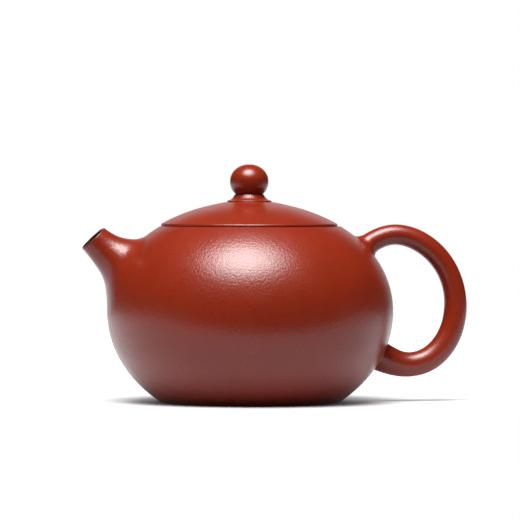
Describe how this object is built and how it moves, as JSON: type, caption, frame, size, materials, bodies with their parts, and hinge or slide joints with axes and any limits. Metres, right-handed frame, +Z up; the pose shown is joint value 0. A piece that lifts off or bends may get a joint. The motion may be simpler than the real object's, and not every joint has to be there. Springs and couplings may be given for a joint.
{
  "type": "teapot",
  "caption": "Round red clay teapot with a short conical spout, a round loop handle and a lift-off domed lid with a ball knob.",
  "frame": {"origin": "on the pot's turning axis, at the plane that the foot stands on", "axes": "+Z up along the pot's axis and the lid's lift; +X towards the handle, so the spout points to -X"},
  "size_m": [0.1363, 0.1, 0.0831],
  "materials": {
    "red_clay": "burnished unglazed red clay, satin",
    "red_clay_inside": "unburnished red clay, matt"
  },
  "bodies": {
    "pot": {"pot_wall": "red_clay", "base_disc": "red_clay", "mouth_ring": "red_clay", "spout": "red_clay", "strainer": "red_clay_inside", "handle": "red_clay"},
    "lid": {"lid_plate": "red_clay", "lid_flange": "red_clay", "knob_neck": "red_clay", "knob_ball": "red_clay"}
  },
  "joints": [
    {"name": "lid_lift", "type": "slide", "parent": "pot", "child": "lid", "axis": [0, 0, 1], "range_m": [0, 0.035]}
  ]
}
